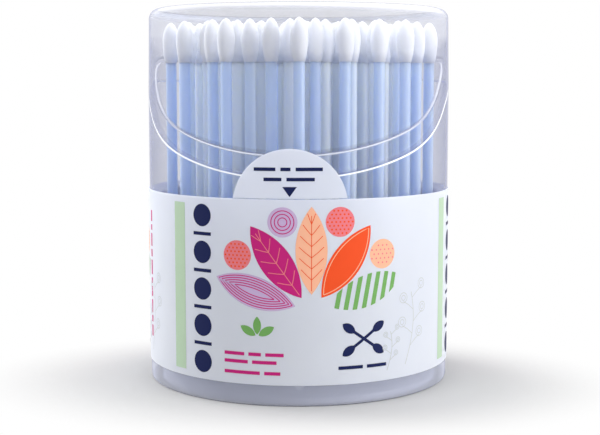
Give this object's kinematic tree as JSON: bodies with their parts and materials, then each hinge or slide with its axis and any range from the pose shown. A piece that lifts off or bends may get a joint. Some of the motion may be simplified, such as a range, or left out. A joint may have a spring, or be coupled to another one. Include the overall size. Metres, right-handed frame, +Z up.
{
  "type": "cotton swab tub",
  "caption": "Clear round tub with a swept flip lid hinged at the back, a wrapped film label with a peel tab, and cotton swabs standing inside.",
  "frame": {"origin": "centre of the foot ring, on the surface that the tub stands on", "axes": "+Z up along the tub's axis, -Y towards the front with the peel tab, +Y towards the hinge, +X to the right seen from the front"},
  "size_m": [0.0666, 0.0699, 0.0807],
  "materials": {
    "clear_plastic": "clear, slightly hazy moulded polypropylene",
    "label_film": "white satin film",
    "print_pale_green": "flat ink under the film's gloss",
    "print_navy": "flat ink under the film's gloss",
    "print_magenta": "flat ink under the film's gloss",
    "print_orange": "flat ink under the film's gloss",
    "print_peach": "flat ink under the film's gloss",
    "print_lilac": "flat ink under the film's gloss",
    "print_pink": "flat ink under the film's gloss",
    "print_green": "flat ink under the film's gloss",
    "stick_blue": "pale blue drawn stick",
    "cotton": "white wound cotton"
  },
  "bodies": {
    "tub": {"tub": "clear_plastic", "label_band": "label_film", "print_bars": "print_pale_green", "print_navy": "print_navy", "print_magenta": "print_magenta", "print_orange": "print_orange", "print_peach": "print_peach", "print_lilac": "print_lilac", "print_pink": "print_pink", "print_green": "print_green", "sticks_inner": "stick_blue", "sticks_middle": "stick_blue", "sticks_outer": "stick_blue", "top_tips_inner": "cotton", "top_tips_middle": "cotton", "top_tips_outer": "cotton", "bottom_tips_inner": "cotton", "bottom_tips_middle": "cotton", "bottom_tips_outer": "cotton"},
    "lid": {"lid": "clear_plastic", "label_tab": "label_film", "print_tab_marks": "print_navy"}
  },
  "joints": [
    {"name": "lid_hinge", "type": "hinge", "parent": "tub", "child": "lid", "pos_m": [0, 0.0349, 0.06533], "axis": [-1, 0, 0], "range_deg": [0, 110]}
  ]
}
